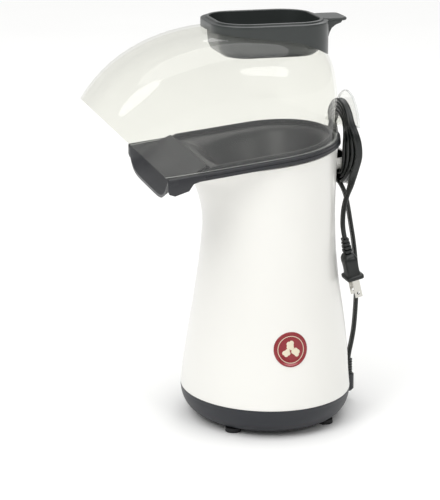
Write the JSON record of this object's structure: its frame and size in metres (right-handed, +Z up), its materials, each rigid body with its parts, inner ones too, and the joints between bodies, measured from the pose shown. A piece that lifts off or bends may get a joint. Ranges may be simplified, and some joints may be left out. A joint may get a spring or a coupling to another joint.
{
  "type": "popcorn maker",
  "caption": "Hot-air popcorn popper with a waisted housing, a chute deck, a clear lift-off hood, a measuring cup in its top and a cord wound on rear hooks.",
  "frame": {"origin": "on the table under the middle of the body's length and width, without the free cord", "axes": "+Z up, -Y the way the spout throws the popcorn, +Y towards the cord hooks, +X the side with the badge"},
  "size_m": [0.165, 0.2462, 0.3556],
  "materials": {
    "housing_white": "moulded, glossy off-white",
    "pan_charcoal": "moulded, fine texture",
    "deck_charcoal": "moulded, satin",
    "hood_clear": "clear polycarbonate, polished",
    "cup_charcoal": "moulded, semi gloss",
    "badge_red": "printed foil under clear lacquer",
    "chamber_aluminium": "deep drawn, anodised",
    "plated_steel": "zinc plated",
    "mica": "pressed mica sheet",
    "heater_wire": "drawn resistance wire",
    "bronze": "sintered bronze",
    "magnet_ferrite": "pressed ferrite",
    "winding": "enamelled copper wire",
    "fan_black": "moulded, glass filled",
    "foot_rubber": "moulded",
    "gasket_felt": "pressed heat resistant fibre",
    "board_green": "laminate with parts",
    "lead_insulation": "extruded",
    "cord_black": "extruded, semi gloss",
    "blade_nickel": "nickel plated brass"
  },
  "bodies": {
    "base": {"base_pan": "pan_charcoal", "foot_front_left": "foot_rubber", "foot_front_right": "foot_rubber", "foot_rear_left": "foot_rubber", "foot_rear_right": "foot_rubber", "base_screws": "plated_steel", "housing": "housing_white", "badge": "badge_red", "chute_tray": "deck_charcoal", "chamber_gasket": "gasket_felt", "chamber_screws": "plated_steel", "popping_chamber": "chamber_aluminium", "heater_shroud": "plated_steel", "heater_frame": "mica", "heating_coil": "heater_wire", "thermostat": "bronze", "thermal_fuse": "plated_steel", "fan_housing": "fan_black", "fan_screws": "plated_steel", "motor_can": "plated_steel", "motor_end_cap": "fan_black", "motor_magnets": "magnet_ferrite", "bush_upper": "bronze", "bush_lower": "bronze", "motor_screws": "plated_steel", "rectifier_board": "board_green", "wiring": "lead_insulation", "strain_relief": "cord_black", "cord_lead": "cord_black", "cord_coil": "cord_black", "cord_tail": "cord_black", "plug_body": "cord_black", "plug_blades": "blade_nickel"},
    "rotor": {"motor_shaft": "plated_steel", "motor_armature": "winding", "fan_impeller": "fan_black", "fan_nut": "plated_steel"},
    "hood": {"hood": "hood_clear"},
    "cup": {"measuring_cup": "cup_charcoal"}
  },
  "joints": [
    {"name": "fan_spin", "type": "hinge", "parent": "base", "child": "rotor", "pos_m": [0, 0.0376, 0.05], "axis": [0, 0, 1], "continuous": true},
    {"name": "hood_lift", "type": "slide", "parent": "base", "child": "hood", "axis": [0, 0, 1], "range_m": [0, 0.12], "deforming": ["cord_coil"]},
    {"name": "cup_lift", "type": "slide", "parent": "hood", "child": "cup", "axis": [0, 0, 1], "range_m": [0, 0.08]}
  ]
}
